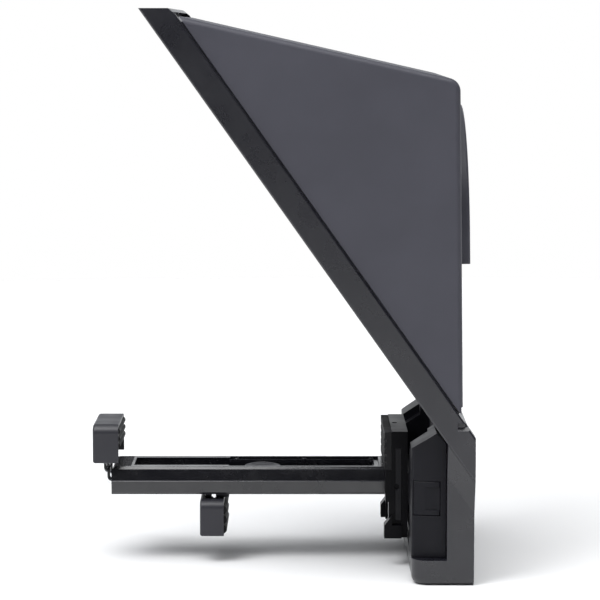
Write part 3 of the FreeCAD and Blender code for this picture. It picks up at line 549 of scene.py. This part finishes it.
def tripod_bush():
    """Brass bush with a 1/4-20 thread inside and knurling outside."""
    pitch, minor, major, outer, length = 1.27, 2.75, 3.2, 5.45, 8.3
    count, steps = 64, 84
    turns = [2 * math.pi * i / count for i in range(count)]
    rings = [[(major * 1.04 * math.cos(t), major * 1.04 * math.sin(t), 0.02) for t in turns]]
    for j in range(steps + 1):
        z = 0.35 + (length - 0.7) * j / steps
        ring = []
        for t in turns:
            phase = (z / pitch - t / (2 * math.pi)) % 1.0
            radius = minor + (major - minor) * min(1.0, abs(phase - 0.5) * 2.6)
            ring.append((radius * math.cos(t), radius * math.sin(t), z))
        rings.append(ring)
    rings.append([(major * math.cos(t), major * math.sin(t), length) for t in turns])
    for z, radius, knurl in ((length, outer - 0.35, 0), (length - 0.3, outer, 1), (0.3, outer, 1),
                             (0.02, outer - 0.25, 0)):
        rings.append([((radius - 0.22 * knurl * (i % 2)) * math.cos(t),
                       (radius - 0.22 * knurl * (i % 2)) * math.sin(t), z) for i, t in enumerate(turns)])
    work = bmesh.new()
    loft(work, rings, closed=True)
    finish_piece("tripod_bush", work, "tripod_insert", "frame", "insert_brass")


def studded_pad():
    """Rubber strip on the arm's outer end: rows of small pyramids on a thin sheet."""
    low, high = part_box("arm_end_pad")
    x0, y0, z0 = (v / MM for v in low)
    x1, y1, z1 = (v / MM for v in high)
    columns, rows = 7, 25
    z_sheet = z1 - 0.42
    step_x, step_y = (x1 - x0) / columns, (y1 - y0) / rows
    work = bmesh.new()
    corners = [[work.verts.new((x0 + step_x * i, y0 + step_y * j, z_sheet)) for j in range(rows + 1)]
               for i in range(columns + 1)]
    for i in range(columns):
        for j in range(rows):
            base = [corners[i][j], corners[i + 1][j], corners[i + 1][j + 1], corners[i][j + 1]]
            centre = Vector((x0 + step_x * (i + 0.5), y0 + step_y * (j + 0.5), z1))
            top = [work.verts.new(centre + (v.co - centre) * 0.32) for v in base]
            for v in top:
                v.co.z = z1
            for k in range(4):
                m = (k + 1) % 4
                work.faces.new((base[k], base[m], top[m], top[k]))
            work.faces.new(top)
    border = [e for e in work.edges if e.is_boundary]
    skirt = bmesh.ops.extrude_edge_only(work, edges=border)
    lower = [v for v in skirt["geom"] if isinstance(v, bmesh.types.BMVert)]
    for v in lower:
        v.co.z = z0
    bmesh.ops.contextual_create(work, geom=[e for e in work.edges if e.is_boundary])
    finish_piece("studded_pad", work, "arm_end_pad", "arm", "pad_rubber", "grip_rubber")


WIRE_SIDES = 8
STEPS_PER_TURN = 20
CLOSE_PITCH = 0.62         # between the close turns at a coil's end


def add_wire(work, points, radius):
    """Round wire along the points."""
    sides = WIRE_SIDES
    side = Vector((0.0, 0.0, 1.0))
    rings = []
    for i, point in enumerate(points):
        along = (points[min(i + 1, len(points) - 1)] - points[max(i - 1, 0)]).normalized()
        side = (side - along * side.dot(along)).normalized()
        other = along.cross(side)
        rings.append([point + (side * math.cos(2 * math.pi * k / sides)
                               + other * math.sin(2 * math.pi * k / sides)) * radius for k in range(sides)])
    loft(work, rings)


def coil_points(start, axis, mean_r, length, turns, flat_turns=0.0):
    """Centre line of a coil spring, with this many close turns at both ends."""
    place = Matrix.Translation(start) @ Vector(axis).to_track_quat("Z", "Y").to_matrix().to_4x4()
    count = int(turns * STEPS_PER_TURN)
    flat_length = flat_turns * CLOSE_PITCH
    active_pitch = (length - 2 * flat_length) / (turns - 2 * flat_turns)
    points = []
    for i in range(count + 1):
        turn = turns * i / count
        rise = min(turn, flat_turns) * CLOSE_PITCH
        rise += max(0.0, min(turn, turns - flat_turns) - flat_turns) * active_pitch
        rise += max(0.0, turn - (turns - flat_turns)) * CLOSE_PITCH
        angle = 2 * math.pi * turn
        points.append(place @ Vector((mean_r * math.cos(angle), mean_r * math.sin(angle), rise)))
    return points


BUTTON_MID = (-5.55, 36.65)        # x and z of both buttons
BUTTON_SEAT = 46.5
BUTTON_SPRING_LENGTH = 3.5
SPRING_WIRE = 0.3


def button_spring(name, side):
    """Short coil behind a button's cap, on a mesh of its own."""
    work = bmesh.new()
    x, z = BUTTON_MID
    add_wire(work, coil_points((x, side * BUTTON_SEAT, z), (0, side, 0), 3.6, BUTTON_SPRING_LENGTH, 3.0),
             SPRING_WIRE)
    piece = finish_piece("coil_" + name, work, "button_spring_" + name, "frame", "spring_steel")
    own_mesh(piece)


TAIL_BACK = (3.2, 1.6, 0.5, 0.15)  # points of the wire before the first turn
TAIL_BEND = 0.6            # over which the wire leaves the axis


def return_springs():
    """Two long coils between the carriage and the arm's root, baked into place."""
    low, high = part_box("return_springs")
    x0, x1 = low[0] / MM + SPRING_WIRE, high[0] / MM - SPRING_WIRE
    z = (low[2] + high[2]) / 2 / MM
    work = bmesh.new()
    for y in (-6.0, 6.0):
        coil = coil_points((x0, y, z), (1, 0, 0), 2.0, x1 - x0, 21.0, flat_turns=1.5)
        first = coil[0] - Vector((x0, y, z))
        tail = [Vector((x0 - back, y, z)) + first * max(0.0, 1.0 - back / TAIL_BEND) for back in TAIL_BACK]
        add_wire(work, tail + coil, SPRING_WIRE)
    piece = finish_piece("pull_springs", work, "return_springs", None, "spring_steel")
    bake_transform(piece)


tripod_bush()
studded_pad()
button_spring("left", 1)
button_spring("right", -1)
return_springs()


# ---------------------------------------------------------------- floor
FLOOR_RADIUS = 1.3


def make_floor():
    """Pale round floor, a stage and not part of the object."""
    mesh = bpy.data.meshes.new("floor")
    work = bmesh.new()
    bmesh.ops.create_circle(work, cap_ends=True, radius=FLOOR_RADIUS, segments=96)
    work.to_mesh(mesh)
    work.free()
    floor = new_object("floor", mesh)
    m = Maker("floor")
    tone = m.mix(m.remap(m.noise(3.0, 3.0), 0.3, 0.7, 0.0, 1.0), (0.87, 0.87, 0.87), (0.89, 0.89, 0.89))
    m.feed("Base Color", tone)
    m.set(Roughness=0.85, Specular_IOR_Level=0.2)
    mesh.materials.append(m.mat)


make_floor()
